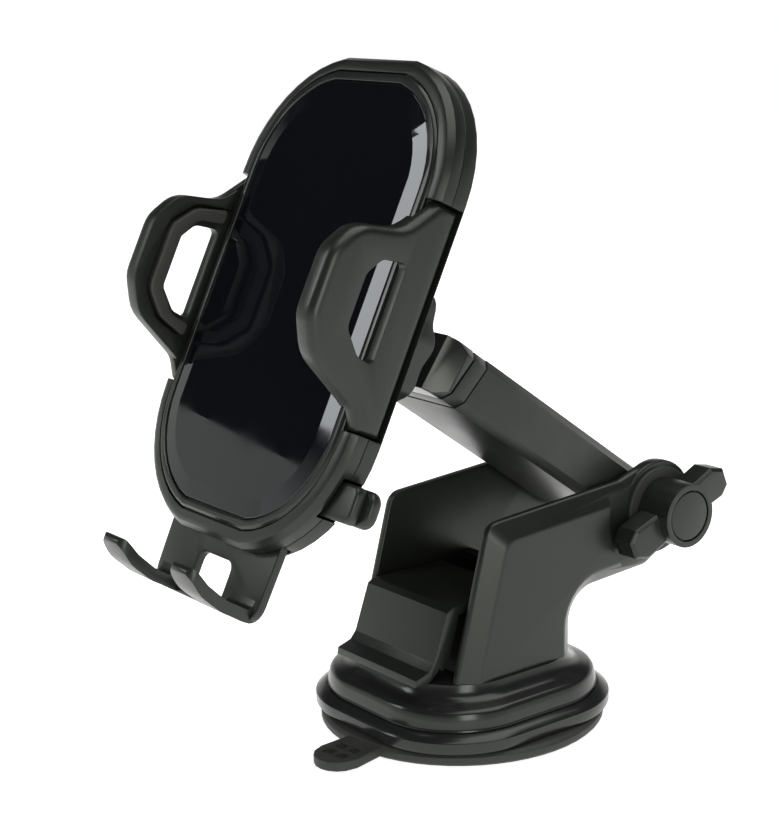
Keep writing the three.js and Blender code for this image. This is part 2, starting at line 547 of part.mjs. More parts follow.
const PITCH = 2 * Math.PI * PINION_PITCH_R / PINION_TEETH;

// A rack tongue of the right clamp: a strip above the pinion with teeth pointing down at it.
function rackTongue() {
  const root = RACK_ROOT, count = 9, inner = -count / 2 * PITCH - 1.86;
  const strip = box([inner, RACK_Y[0], root], [CHANNEL_X + GAP + 1, RACK_Y[1], root + RACK_BACK]);
  const tooth = x => prism('y', [[x - 0.95, root + 0.2], [x - 0.35, PINION_PITCH_R - 0.9],
    [x + 0.35, PINION_PITCH_R - 0.9], [x + 0.95, root + 0.2]], RACK_Y[0], RACK_Y[1]);
  const teeth = Array.from({ length: count }, (_, i) => tooth((i - count / 2) * PITCH));
  return join(strip, ...teeth);
}

function clampArm() {
  const x = CHANNEL_X + GAP;
  const plate = prism('x', CLAMP_SIDE, x - CLAMP_THICK, x + CLAMP_THICK, 1, 1)
    .subtract(box([0, -60, -60], [x, 60, 60]));
  return cut(plate, prism('x', CLAMP_WINDOW, 0, 60));
}

const rightClamp = () => clampArm().add(rackTongue());
const leftClamp = () => clampArm().mirror([1, 0, 0]).add(rackTongue().rotate([0, 180, 0]));

const clampPad = () => prism('x', PAD_SIDE, CHANNEL_X - PAD_THICK, CHANNEL_X, 0.4);

function pinionGear() {
  const tooth = prism('y', [[PINION_PITCH_R - 1.4, -1], [PINION_PITCH_R + 0.9, -0.35],
    [PINION_PITCH_R + 0.9, 0.35],
    [PINION_PITCH_R - 1.4, 1]], RACK_Y[0], RACK_Y[1]);
  const teeth = Array.from({ length: PINION_TEETH }, (_, i) => tooth.rotate([0,
    360 * i / PINION_TEETH - 90, 0]));
  return join(rod('y', PINION_PITCH_R - 1.2, RACK_Y[0], RACK_Y[1], [0, 0], 30), ...teeth);
}

function releaseButton() {
  const [z0, z1] = BUTTON_Z, [y0, y1] = BUTTON_Y;
  const plan = [[BUTTON_IN, y0], [BUTTON_OUT - 1.6, y0], [BUTTON_OUT, y0 + 1.6], [BUTTON_OUT, y1 - 1.6],
    [BUTTON_OUT - 1.6, y1], [BUTTON_IN, y1]];
  const face = roundedRect(BUTTON_OUT - BUTTON_IN, (z1 - z0) / 2, BUTTON_ROUND, 4)
    .map(([x, z]) => [x + BUTTON_IN, z + (z0 + z1) / 2]);
  return prism('z', plan, z0, z1).intersect(prism('y', face, 0, 20));
}

function footHook() {
  const [y0, y1] = FOOT_Y;
  const face = [[-FOOT_HALF, -46], [-FOOT_HALF, -70], [-FOOT_HALF + 2, -74], [-FOOT_HALF + 6, FOOT_LOW],
    [FOOT_HALF - 6, FOOT_LOW], [FOOT_HALF - 2, -74], [FOOT_HALF, -70], [FOOT_HALF, -46]];
  const hole = roundedRect(7, 5, 2.4, 4).map(([x, z]) => [x, z - 69.6]);
  const side = [[y1, -70], [y1 - 0.4, -74.4], [4.4, -76.8], [-2, -77.4], [-9, -75.6], [-14, -72.4],
    [-17.4, -69.4],
    [-17.4, -68.2], [-16, -67.6], [-13, -69], [-8, -72], [-2, -73.9], [3, -73.6], [y0, -71]];
  const prong = x => prism('x', side, x - PRONG_HALF, x + PRONG_HALF);
  const plate = cut(prism('y', face, y0, y1), prism('y', hole, 0, 20));
  return join(plate, prong(PRONG_X), prong(-PRONG_X));
}

// ---------- ball joint ----------
// A slice of the liner's spherical shell between two depths.
function liner(from, to) {
  const shell = sphere(LINER_OUT, BALL).subtract(sphere(LINER_IN, BALL));
  return shell.intersect(rod('y', 20, from, to, AXIS_XZ));
}

function ballSocket() {
  const body = lathe('y', [[0, SHELL_BACK_Y + GAP], [SOCKET_R + 4, SHELL_BACK_Y + GAP],
    [SOCKET_R + 4, SHELL_BACK_Y + 2.2], [SOCKET_R, SHELL_BACK_Y + 3.2], [SOCKET_R, BALL_BEHIND - 0.6],
    [0, BALL_BEHIND - 0.6]], AXIS_XZ);
  return cut(body, sphere(CAVITY, BALL, 40));
}

function ringNut() {
  const lobes = Array.from({ length: 8 * NUT_LOBES }, (_, i) => {
    const t = 2 * Math.PI * i / (8 * NUT_LOBES);
    const r = NUT_R + 0.8 * Math.cos(NUT_LOBES * (t - rad(7)));
    return [r * Math.cos(t), r * Math.sin(t) + BALL_BELOW];
  });
  const [y0, y1] = NUT_Y;
  const grip = prism('y', lobes, y0, y1, 0.6);
  const cone = lathe('y', [[0, y1 - 1], [15, y1 - 1], [15, y1], [10, y1 + 2.2], [0, y1 + 2.2]], AXIS_XZ);
  return cut(grip.add(cone), rod('y', SOCKET_R + GAP, y0 - 1, BALL_BEHIND, AXIS_XZ, 40), sphere(CAVITY,
    BALL, 40),
    rod('y', NECK_R + NECK_ROOM, BALL_BEHIND, y1 + 5, AXIS_XZ, 32));
}

const chargingCoil = () => cut(rod('y', COIL_R[1], ...COIL_Y, [0, 0], 40), rod('y', COIL_R[0], 0, 9,
  [0, 0], 40));

function usbPort() {
  const shell = box([-PORT_HALF, PORT_Y[0], PORT_Z[0]], [PORT_HALF, PORT_Y[1], PORT_Z[1]]);
  const mouth = box([-PORT_HALF + 0.8, PORT_Y[0] + 0.6, PORT_Z[0] - 1], [PORT_HALF - 0.8,
    PORT_Y[1] - 0.6, PORT_Z[1] - 2]);
  return cut(shell, mouth);
}

function buildCradle() {
  piece(cradle, 'glass_panel', glassPanel(), glass);
  piece(cradle, 'bezel_ring', bezelRing(), gloss);
  piece(cradle, 'front_frame', frontFrame(), satin);
  piece(cradle, 'rear_shell', rearShell(), satin);
  SCREWS.forEach((at, i) => piece(cradle, `case_screw_${i + 1}`, caseScrew(at), steel));
  piece(cradle, 'charging_coil', chargingCoil(), copper);
  piece(cradle, 'coil_ferrite', rod('y', FERRITE_R, ...FERRITE_Y, [0, 0], 40), gloss);
  piece(cradle, 'circuit_board', box([-BOARD_HALF, BOARD_Y[0], BOARD_Z[0]], [BOARD_HALF, BOARD_Y[1],
    BOARD_Z[1]]), board);
  piece(cradle, 'usb_port', usbPort(), steel);
  piece(cradle, 'pinion_gear', pinionGear(), gloss);
  piece(cradle, 'clamp_right', rightClamp(), satin);
  piece(cradle, 'clamp_left', leftClamp(), satin);
  piece(cradle, 'pad_right', clampPad(), rubber);
  piece(cradle, 'pad_left', clampPad().mirror([1, 0, 0]), rubber);
  piece(cradle, 'release_button', releaseButton(), satin);
  piece(cradle, 'foot_hook', footHook(), satin);
  piece(cradle, 'ball_socket', ballSocket(), satin);
  piece(cradle, 'ball_liner_front', liner(BALL_BEHIND - LINER_OUT, BALL_BEHIND - 4.6), rubber);
  piece(cradle, 'ball_liner_rear', liner(BALL_BEHIND - 0.2, BALL_BEHIND + 4.2), rubber);
  piece(cradle, 'ring_nut', ringNut(), satin);
}

buildBase();
buildPivot();
buildArm();
buildCradle();

export default mount;
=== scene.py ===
import json
from math import cos, pi, radians, sin

import bpy
from mathutils import Matrix, Vector


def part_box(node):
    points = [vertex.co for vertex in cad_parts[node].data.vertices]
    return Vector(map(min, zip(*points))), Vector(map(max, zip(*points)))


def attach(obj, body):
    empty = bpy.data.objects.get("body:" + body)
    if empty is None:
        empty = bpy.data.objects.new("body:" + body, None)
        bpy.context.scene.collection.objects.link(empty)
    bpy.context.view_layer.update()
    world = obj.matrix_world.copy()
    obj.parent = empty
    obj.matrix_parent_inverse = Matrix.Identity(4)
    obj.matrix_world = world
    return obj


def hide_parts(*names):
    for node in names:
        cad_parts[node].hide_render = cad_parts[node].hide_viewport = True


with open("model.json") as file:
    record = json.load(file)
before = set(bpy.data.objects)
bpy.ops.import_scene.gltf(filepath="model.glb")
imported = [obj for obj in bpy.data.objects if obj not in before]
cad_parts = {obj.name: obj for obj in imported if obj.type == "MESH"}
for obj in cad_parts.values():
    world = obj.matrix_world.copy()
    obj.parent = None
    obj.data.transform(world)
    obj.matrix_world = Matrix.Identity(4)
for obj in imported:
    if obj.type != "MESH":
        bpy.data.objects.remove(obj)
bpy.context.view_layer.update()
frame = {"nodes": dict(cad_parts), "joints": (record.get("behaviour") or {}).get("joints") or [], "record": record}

MM = 0.001
nodes = frame["nodes"]
joints = {j["name"]: j for j in frame["joints"]}
mounts = {m["name"]: m for m in frame["record"]["mounts"]}

# ---------- the table, the lamps and the camera ----------
# A white table that glows a little, in a room that is light round the horizon and dark overhead.
# Three soft boxes stand round it: one high up, one at the left that the glass's bevel catches, one low at
# the right. A white card with a slanted edge stands low at the left under a black flag, and the glass
# mirrors both.
FLOOR_SIZE = 2.6
bpy.ops.object.select_all(action="DESELECT")
bpy.ops.mesh.primitive_plane_add(size=FLOOR_SIZE, location=(0, 0, -0.0002))
table_top = bpy.context.object
table_top.name = "table_top"
paper = bpy.data.materials.new("white_paper")
paper.use_nodes = True
paper.node_tree.nodes["Principled BSDF"].inputs["Base Color"].default_value = (0.93, 0.93, 0.925, 1)
paper.node_tree.nodes["Principled BSDF"].inputs["Roughness"].default_value = 0.7
paper.node_tree.nodes["Principled BSDF"].inputs["Emission Color"].default_value = (1, 1, 1, 1)
paper.node_tree.nodes["Principled BSDF"].inputs["Emission Strength"].default_value = 0.8
table_top.data.materials.append(paper)

room = bpy.data.worlds.new("studio_room")
bpy.context.scene.world = room
room.use_nodes = True
sky = room.node_tree
direction = sky.nodes.new("ShaderNodeTexCoord")
height = sky.nodes.new("ShaderNodeSeparateXYZ")
fade = sky.nodes.new("ShaderNodeValToRGB")
fade.color_ramp.elements[0].position = 0.0
fade.color_ramp.elements[0].color = (1, 1, 1, 1)
fade.color_ramp.elements[1].position = 0.36
fade.color_ramp.elements[1].color = (0.035, 0.036, 0.04, 1)
edge = fade.color_ramp.elements.new(0.2)
edge.color = (0.9, 0.9, 0.88, 1)
sky.links.new(direction.outputs["Generated"], height.inputs[0])
sky.links.new(height.outputs["Z"], fade.inputs[0])
sky.links.new(fade.outputs["Color"], sky.nodes["Background"].inputs["Color"])
sky.nodes["Background"].inputs["Strength"].default_value = 1.0

AIM = Vector((-10.08, -13.6, 83.78)) * MM
AZIMUTH, ELEVATION, ROLL = radians(52.907), radians(13.527), radians(-1.719)
STAND_OFF = 500.91 * MM


def towards(azimuth, elevation):
    """Unit vector from the mount towards a lamp or the camera; azimuth 0 is in front of it."""
    a, e = radians(azimuth), radians(elevation)
    return Vector((sin(a) * cos(e), -cos(a) * cos(e), sin(e)))


def soft_box(name, azimuth, elevation, distance, size, watts, colour=(1, 1, 1)):
    lamp = bpy.data.lights.new(name, "AREA")
    lamp.shape = "RECTANGLE"
    lamp.size, lamp.size_y = size
    lamp.energy = watts
    lamp.color = colour
    stand = bpy.data.objects.new(name, lamp)
    bpy.context.collection.objects.link(stand)
    stand.location = AIM + towards(azimuth, elevation) * distance
    stand.rotation_euler = towards(azimuth, elevation).to_track_quat("Z", "Y").to_euler()


soft_box("overhead_box", 150, 78, 1.5, (1.5, 1.5), 18, (1, 0.995, 0.98))
soft_box("left_box", -40, 33, 1.3, (0.4, 0.48), 4.1, (0.96, 0.98, 1))
soft_box("right_box", 66, 20, 1.6, (0.5, 0.9), 8, (1, 0.99, 0.97))


def hung_card(name, corners, distance, brightness):
    """A flat card that stands square to the mount, with its corners in azimuth and elevation, and its own
    light."""
    middle = sum((towards(*c) for c in corners), Vector()) / len(corners)
    bpy.ops.object.select_all(action="DESELECT")
    bpy.ops.mesh.primitive_plane_add(size=1)
    card = bpy.context.object
    card.name = name
    for vertex, corner in zip(card.data.vertices, corners):
        ray = towards(*corner)
        vertex.co = AIM + ray * (distance * middle.length_squared / ray.dot(middle))
    face = bpy.data.materials.new(name)
    face.use_nodes = True
    face.node_tree.nodes["Principled BSDF"].inputs["Base Color"].default_value = (0, 0, 0, 1)
    face.node_tree.nodes["Principled BSDF"].inputs["Specular IOR Level"].default_value = 0
    face.node_tree.nodes["Principled BSDF"].inputs["Emission Color"].default_value = (0.95, 1, 0.92, 1)
    face.node_tree.nodes["Principled BSDF"].inputs["Emission Strength"].default_value = brightness
    card.data.materials.append(face)


hung_card("white_card", [(-75, -4), (-44, -4), (-75, 10.1), (-44, 18.5)], 1.02, 0.78)
hung_card("black_flag", [(-78, 6), (-49, 12), (-78, 40), (-49, 40)], 1.1, 0.012)

camera = bpy.data.objects.new("camera", bpy.data.cameras.new("camera"))
bpy.context.collection.objects.link(camera)
camera.data.lens = 86.37
camera.data.sensor_width = 36
back = Vector((sin(AZIMUTH) * cos(ELEVATION), -cos(AZIMUTH) * cos(ELEVATION), sin(ELEVATION)))
level = Vector((cos(AZIMUTH), sin(AZIMUTH), 0))
upward = back.cross(level)
right = level * cos(ROLL) + upward * sin(ROLL)
above = upward * cos(ROLL) - level * sin(ROLL)
camera.matrix_world = Matrix((right, above, back)).transposed().to_4x4()
camera.location = AIM + back * STAND_OFF
bpy.context.scene.camera = camera
bpy.context.scene.view_settings.view_transform = "Standard"

# ---------- suction disc ----------
# One moulding of soft black rubber: a thin dished disc with a thicker rim, and a pull tab with four square
# cells. It is held in the skirt by its rim, and the stem draws its middle up.


def only(piece):
    """Leaves this piece alone selected and active."""
    bpy.ops.object.select_all(action="DESELECT")
    piece.select_set(True)
    bpy.context.view_layer.objects.active = piece


def merged_copy(node, name):
    """A new mesh that starts as a CAD node, with its loose triangles merged and its flat faces made
    whole."""
    piece = bpy.data.objects.new(name, nodes[node].data.copy())
    bpy.context.collection.objects.link(piece)
    only(piece)
    piece.data.materials.clear()
    bpy.ops.mesh.customdata_custom_splitnormals_clear()
    bpy.ops.object.mode_set(mode="EDIT")
    bpy.ops.mesh.select_all(action="SELECT")
    bpy.ops.mesh.remove_doubles(threshold=2e-6)
    bpy.ops.mesh.dissolve_limited(angle_limit=radians(0.6))
    bpy.ops.object.mode_set(mode="OBJECT")
    return piece


def eased(piece, width, angle=32, segments=3, smooth=38):
    """Rounds the edges sharper than angle to about width millimetres."""
    only(piece)
    bpy.ops.object.modifier_add(type="BEVEL")
    round_off = piece.modifiers[-1]
    round_off.width = width * MM
    round_off.segments = segments
    round_off.limit_method = "ANGLE"
    round_off.angle_limit = radians(angle)
    round_off.use_clamp_overlap = True
    bpy.ops.object.modifier_apply(modifier=round_off.name)
    bpy.ops.object.shade_smooth_by_angle(angle=radians(smooth))
    return piece


def fitted(piece, body, material, slot, *stands_for):
    """Gives the piece its material, and sets it on its body in place of its CAD nodes."""
    piece.data.materials.append(material)
    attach(piece, body)
    if stands_for:
        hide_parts(*stands_for)
    return piece


def group_with(name, ins, outs):
    """A shader node group with named inputs and outputs, ready to be wired."""
    group = bpy.data.node_groups.new(name, "ShaderNodeTree")
    for label, value in ins.items():
        group.interface.new_socket(label, in_out="INPUT",
                                   socket_type="NodeSocketFloat").default_value = value
    for label in outs:
        group.interface.new_socket(label, in_out="OUTPUT", socket_type="NodeSocketFloat")
    return group, group.nodes.new("NodeGroupInput"), group.nodes.new("NodeGroupOutput")


def maths(tree, kind, a, b=None):
    """A Math node whose inputs are sockets or numbers."""
    node = tree.nodes.new("ShaderNodeMath")
    node.operation = kind
    for place, value in enumerate((a, b)):
        if isinstance(value, (int, float)):
            node.inputs[place].default_value = value
        elif value is not None:
            tree.links.new(value, node.inputs[place])
    return node.outputs[0]


def mould_grain():
    """Fine spark texture of a mould, over a slow waviness of the skin; also the dulling that goes with
    it."""
    group, given, made = group_with("Mould grain", {"Fineness": 900.0, "Depth": 0.5, "Patches": 60.0},
                                    ["Height", "Dulling"])
    place = group.nodes.new("ShaderNodeTexCoord")
    fine, slow = group.nodes.new("ShaderNodeTexNoise"), group.nodes.new("ShaderNodeTexNoise")
    for noise, scale in ((fine, "Fineness"), (slow, "Patches")):
        group.links.new(place.outputs["Object"], noise.inputs["Vector"])
        group.links.new(given.outputs[scale], noise.inputs["Scale"])
    fine.inputs["Detail"].default_value = 3
    grain = maths(group, "MULTIPLY", fine.outputs["Fac"], given.outputs["Depth"])
    wave = maths(group, "MULTIPLY", slow.outputs["Fac"], 0.25)
    group.links.new(maths(group, "ADD", grain, wave), made.inputs["Height"])
    group.links.new(maths(group, "SUBTRACT", slow.outputs["Fac"], 0.5), made.inputs["Dulling"])
    return group


def painted_edge_sheen_and_dust():
    """Where a moulding's outer corners get a painted highlight, pale and shiny, broken up by a patchy noise; and
    where dust settles on faces that look up.
    """
    group, given, made = group_with("Handling wear", {"Sharpness": 0.56, "Amount": 0.5}, ["Rubbed", "Dust"])
    shape = group.nodes.new("ShaderNodeNewGeometry")
    place = group.nodes.new("ShaderNodeTexCoord")
    patches = group.nodes.new("ShaderNodeTexNoise")
    patches.inputs["Scale"].default_value = 180
    group.links.new(place.outputs["Object"], patches.inputs["Vector"])
    corner = group.nodes.new("ShaderNodeMapRange")
    group.links.new(shape.outputs["Pointiness"], corner.inputs["Value"])
    group.links.new(given.outputs["Sharpness"], corner.inputs["From Min"])
    corner.inputs["From Max"].default_value = 0.7
    broken = maths(group, "MULTIPLY", corner.outputs["Result"], patches.outputs["Fac"])
    group.links.new(maths(group, "MULTIPLY", broken, given.outputs["Amount"]), made.inputs["Rubbed"])
    facing = group.nodes.new("ShaderNodeSeparateXYZ")
    group.links.new(shape.outputs["Normal"], facing.inputs[0])
    upper = maths(group, "MAXIMUM", facing.outputs["Z"], 0.0)
    settled = maths(group, "MULTIPLY", maths(group, "POWER", upper, 3.0), patches.outputs["Fac"])
    group.links.new(settled, made.inputs["Dust"])
    return group


GRAIN, EDGE_SHEEN_AND_DUST = mould_grain(), painted_edge_sheen_and_dust()


def moulded(name, colour, roughness, fineness=900, depth=0.5, bump=0.06, edge_sheen=0.4, dust=0.02, coat=0.0):
    """A moulded plastic or rubber: its colour lifts a little where a painted highlight lies on its outer corners
    and where dust settles, and its gloss drifts over the skin with the mould's grain."""
    made = bpy.data.materials.new(name)
    made.use_nodes = True
    tree = made.node_tree
    skin = tree.nodes["Principled BSDF"]
    grain = tree.nodes.new("ShaderNodeGroup")
    grain.node_tree = GRAIN
    grain.inputs["Fineness"].default_value = fineness
    grain.inputs["Depth"].default_value = depth
    wear = tree.nodes.new("ShaderNodeGroup")
    wear.node_tree = EDGE_SHEEN_AND_DUST
    wear.inputs["Amount"].default_value = edge_sheen
    sheen_and_dust_lift = tree.nodes.new("ShaderNodeMix")
    sheen_and_dust_lift.data_type = "RGBA"
    sheen_and_dust_lift.inputs["A"].default_value = (*colour, 1)
    sheen_and_dust_lift.inputs["B"].default_value = (*[min(1.0, c * 2.2 + 0.015) for c in colour], 1)
    # The colour is lifted by the painted corner highlight and by the settled dust.
    share = maths(tree, "ADD", wear.outputs["Rubbed"],
                  maths(tree, "MULTIPLY", wear.outputs["Dust"], dust * 10))
    tree.links.new(share, sheen_and_dust_lift.inputs["Factor"])
    tree.links.new(sheen_and_dust_lift.outputs["Result"], skin.inputs["Base Color"])
    shine = maths(tree, "ADD", maths(tree, "MULTIPLY", grain.outputs["Dulling"], 0.16), roughness)
    tree.links.new(maths(tree, "SUBTRACT", shine, maths(tree, "MULTIPLY", wear.outputs["Rubbed"], 0.12)),
                   skin.inputs["Roughness"])
    relief = tree.nodes.new("ShaderNodeBump")
    relief.inputs["Strength"].default_value = bump
    relief.inputs["Distance"].default_value = 0.0004
    tree.links.new(grain.outputs["Height"], relief.inputs["Height"])
    tree.links.new(relief.outputs["Normal"], skin.inputs["Normal"])
    skin.inputs["Coat Weight"].default_value = coat
    skin.inputs["Specular IOR Level"].default_value = 0.4
    skin.inputs["Specular Tint"].default_value = (0.93, 1, 0.9, 1)
    return made


soft_rubber = moulded("soft_rubber", (0.022, 0.023, 0.021), 0.56, fineness=1400, bump=0.1, edge_sheen=0.15,
                      dust=0.05)

tab = merged_copy("suction_pad", "disc_with_tab")
eased(tab, 0.7, segments=3)
fitted(tab, "base", soft_rubber, "soft_rubber", "suction_pad")

stem_steel = moulded("stem_steel", (0.5, 0.51, 0.52), 0.3, fineness=500, bump=0.02, edge_sheen=0.1, dust=0)
stem_steel.node_tree.nodes["Principled BSDF"].inputs["Metallic"].default_value = 1
fitted(eased(merged_copy("suction_stem", "cam_stem"), 0.4), "stem", stem_steel, "steel", "suction_stem")

# ---------- skirt ----------
# A glossy black ring that presses the disc's rim down. It is a rounded square with a proud lip below, a
# dark groove, a domed side and a flare where the housing stands on it.
gloss_black = moulded("gloss_black", (0.012, 0.0125, 0.0125), 0.2, fineness=500, bump=0.02, edge_sheen=0.3,
                      coat=0.0)

skirt_low, skirt_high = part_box("base_skirt")
RIM_HALF = skirt_high.x / MM
RIM_ROUND = 25.0
SKIRT_WALL = 1.8


def faces_where(piece, test):
    """Goes into edit mode with the faces selected that pass the test."""
    only(piece)
    bpy.ops.object.mode_set(mode="EDIT")
    bpy.ops.mesh.select_mode(type="FACE")
    bpy.ops.mesh.select_all(action="DESELECT")
    bpy.ops.object.mode_set(mode="OBJECT")
    for face in piece.data.polygons:
        face.select = test(face)
    bpy.ops.object.mode_set(mode="EDIT")


def ringed(name, half, round_r, profile, wall):
    """A shell that starts as a rounded square plate, and is drawn up through (inset, height) in
    millimetres."""
    bpy.ops.object.select_all(action="DESELECT")
    first_in, first_z = profile[0]
    bpy.ops.mesh.primitive_plane_add(size=2 * (half - first_in) * MM, location=(0, 0, first_z * MM))
    piece = bpy.context.object
    piece.name = name
    bpy.ops.object.transform_apply(location=True)
    bpy.ops.object.mode_set(mode="EDIT")
    bpy.ops.mesh.select_all(action="SELECT")
    bpy.ops.mesh.bevel(offset=(round_r - first_in) * MM, segments=20, affect="VERTICES")
    bpy.ops.mesh.select_all(action="SELECT")
    inset, z = first_in, first_z
    for next_in, next_z in profile[1:]:
        bpy.ops.mesh.extrude_region_move(TRANSFORM_OT_translate={"value": (0, 0, (next_z - z) * MM)})
        share = (half - next_in) / (half - inset)
        bpy.ops.transform.resize(value=(share, share, 1), center_override=(0, 0, next_z * MM))
        inset, z = next_in, next_z
    bpy.ops.object.mode_set(mode="OBJECT")
    faces_where(piece, lambda f: abs(f.normal.z) > 0.99 and f.center.z < (first_z + 0.05) * MM)
    bpy.ops.mesh.delete(type="FACE")
    bpy.ops.mesh.select_all(action="SELECT")
    bpy.ops.mesh.normals_make_consistent(inside=False)
    bpy.ops.object.mode_set(mode="OBJECT")
    only(piece)
    bpy.ops.object.modifier_add(type="SOLIDIFY")
    skin = piece.modifiers[-1]
    skin.thickness = wall * MM
    skin.offset = -1
    bpy.ops.object.modifier_apply(modifier=skin.name)
    bpy.ops.object.shade_smooth_by_angle(angle=radians(32))
    return piece


LIP_Z = skirt_low.z / MM
TOP_Z = skirt_high.z / MM
SKIRT_SIDE = [
    (0.8, LIP_Z), (0.2, LIP_Z + 0.2), (0.0, LIP_Z + 0.7), (0.0, LIP_Z + 3.0), (0.3, LIP_Z + 3.4),
    (2.2, LIP_Z + 4.5), (2.7, LIP_Z + 4.6), (3.5, LIP_Z + 4.5), (3.6, LIP_Z + 4.8), (3.0, LIP_Z + 5.2),
    (2.9, LIP_Z + 5.6), (3.5, LIP_Z + 8.8), (3.9, LIP_Z + 9.5), (4.7, LIP_Z + 9.95), (6.6, LIP_Z + 10.4),
    (7.8, LIP_Z + 11.0), (8.7, LIP_Z + 12.0), (9.3, LIP_Z + 13.2), (9.6, TOP_Z), (12.5, TOP_Z)]
skirt = ringed("glossy_skirt", RIM_HALF, RIM_ROUND, SKIRT_SIDE, SKIRT_WALL)
fitted(skirt, "base", gloss_black, "gloss_black", "base_skirt")

# ---------- housing ----------
# One moulding of satin black ABS: a column with a trough for the folded arm, between two side walls whose
# rear ends are the ears that the arm turns in. Each wall's outer face has a wide soft bevel round it.
satin_black = moulded("satin_black", (0.0085, 0.0098, 0.0083), 0.33, fineness=1100, bump=0.05, edge_sheen=0.35)


def rounded(corners, step=12):
    """An outline through (a, b, radius) corners, each filleted to its radius, with a point every few
    degrees."""
    made = []
    for i, (a, b, radius) in enumerate(corners):
        corner = Vector((a, b))
        before = (Vector(corners[i - 1][:2]) - corner).normalized()
        after = (Vector(corners[(i + 1) % len(corners)][:2]) - corner).normalized()
        bend = before.angle(after)
        if radius < 0.01 or bend > radians(178):
            made.append((a, b))
            continue
        middle = corner + (before + after).normalized() * radius / sin(bend / 2)
        start = corner + before * radius / abs(sin(bend / 2)) * cos(bend / 2) - middle
        sweep = start.angle_signed(corner + after * radius / abs(sin(bend / 2)) * cos(bend / 2) - middle)
        count = max(2, round(abs(sweep) * 180 / pi / step))
        for k in range(count + 1):
            turn = Matrix.Rotation(-sweep * k / count, 2)
            made.append(tuple(middle + turn @ start))
    return made


def plate(name, corners, x_from, x_to):
    """A flat plate square to X: one point drawn out round its outline in Y and Z, filled, and pulled
    through."""
    points = rounded(corners)
    bpy.ops.object.select_all(action="DESELECT")
    bpy.ops.mesh.primitive_plane_add(size=MM, location=(x_from * MM, points[0][0] * MM, points[0][1] * MM))
    piece = bpy.context.object
    piece.name = name
    bpy.ops.object.transform_apply(location=True)
    bpy.ops.object.mode_set(mode="EDIT")
    bpy.ops.mesh.select_mode(type="VERT")
    bpy.ops.mesh.select_all(action="SELECT")
    bpy.ops.mesh.merge(type="CENTER")
    for (y, z), (next_y, next_z) in zip(points, points[1:] + points[:1]):
        bpy.ops.mesh.extrude_vertices_move(
            TRANSFORM_OT_translate={"value": (0, (next_y - y) * MM, (next_z - z) * MM)})
    bpy.ops.mesh.select_all(action="SELECT")
    bpy.ops.mesh.remove_doubles(threshold=1e-6)
    bpy.ops.mesh.edge_face_add()
    bpy.ops.mesh.extrude_region_move(TRANSFORM_OT_translate={"value": ((x_to - x_from) * MM, 0, 0)})
    bpy.ops.mesh.select_all(action="SELECT")
    bpy.ops.mesh.normals_make_consistent(inside=False)
    bpy.ops.object.mode_set(mode="OBJECT")
    return piece


def inset_side(piece, sign, steps):
    """Insets the face that looks outward along X, once for each (width, rise) in millimetres."""
    faces_where(piece, lambda f: f.normal.x * sign > 0.99)
    for width, rise in steps:
        bpy.ops.mesh.inset(thickness=width * MM, depth=rise * MM)
    bpy.ops.object.mode_set(mode="OBJECT")
    return piece


def corner_edges(piece, near):
    """Goes into edit mode with the edges selected that run through a corner of the outline, from face to
    face."""
    only(piece)
    bpy.ops.object.mode_set(mode="EDIT")
    bpy.ops.mesh.select_mode(type="EDGE")
    bpy.ops.mesh.select_all(action="DESELECT")
    bpy.ops.object.mode_set(mode="OBJECT")
    for edge in piece.data.edges:
        ends = [piece.data.vertices[v].co / MM for v in edge.vertices]
        edge.select = all(near(e.y, e.z) for e in ends) and abs(ends[0].x - ends[1].x) > 0.1
    bpy.ops.object.mode_set(mode="EDIT")


def worked(piece, tool, kind):
    """Joins the tool to the piece or takes it away, and clears the tool."""
    only(piece)
    bpy.ops.object.modifier_add(type="BOOLEAN")
    shaping = piece.modifiers[-1]
    shaping.operation = kind
    shaping.object = tool
    shaping.solver = "EXACT"
    bpy.ops.object.modifier_apply(modifier=shaping.name)
    bpy.ops.object.mode_set(mode="EDIT")
    bpy.ops.mesh.select_mode(type="VERT")
    bpy.ops.mesh.select_all(action="SELECT")
    bpy.ops.mesh.remove_doubles(threshold=4e-6)
    bpy.ops.mesh.dissolve_degenerate(threshold=2e-6)
    bpy.ops.object.mode_set(mode="OBJECT")
    only(tool)
    bpy.ops.object.delete()
    return piece


def mirrored(piece, name):
    """A copy on the other side of the YZ plane."""
    only(piece)
    bpy.ops.object.duplicate()
    other = bpy.context.object
    other.name = name
    other.scale.x = -1
    bpy.ops.object.transform_apply(scale=True)
    bpy.ops.object.mode_set(mode="EDIT")
    bpy.ops.mesh.select_all(action="SELECT")
    bpy.ops.mesh.normals_make_consistent(inside=False)
    bpy.ops.object.mode_set(mode="OBJECT")
    return other


housing_low, housing_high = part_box("base_housing")
pivot = Vector(joints["arm_fold"]["pos_m"]) / MM
WALL_OUT = housing_high.x / MM
WALL_IN = WALL_OUT - 5.4
COLUMN_FOOT = housing_low.z / MM
FRONT_TOP = (-7.0, 57.5)
FRONT_LEAN = 0.29
REAR_Y = 19.5
EAR_R = 12.6
EAR_SEAT = 1.8
SEAT_R = 19.3
BOSS_R = EAR_R + 0.06
BORE_R = 3.3
FRONT_ROUND = 2.6
BEVEL_WIDTH = 4.6
BEVEL_RISE = 3.6


def ear_arc(start, end, steps):
    """The ear's round end as outline corners, from one angle to the other in degrees."""
    return [(pivot.y + EAR_R * cos(radians(start + (end - start) * k / steps)),
             pivot.z + EAR_R * sin(radians(start + (end - start) * k / steps)),
             0) for k in range(steps + 1)]


def round_pivot(radius, step):
    """A circle about the folding pivot as outline corners, one every step degrees."""
    return [(pivot.y + radius * cos(radians(t)), pivot.z + radius * sin(radians(t)), 0)
            for t in range(0, 360, step)]


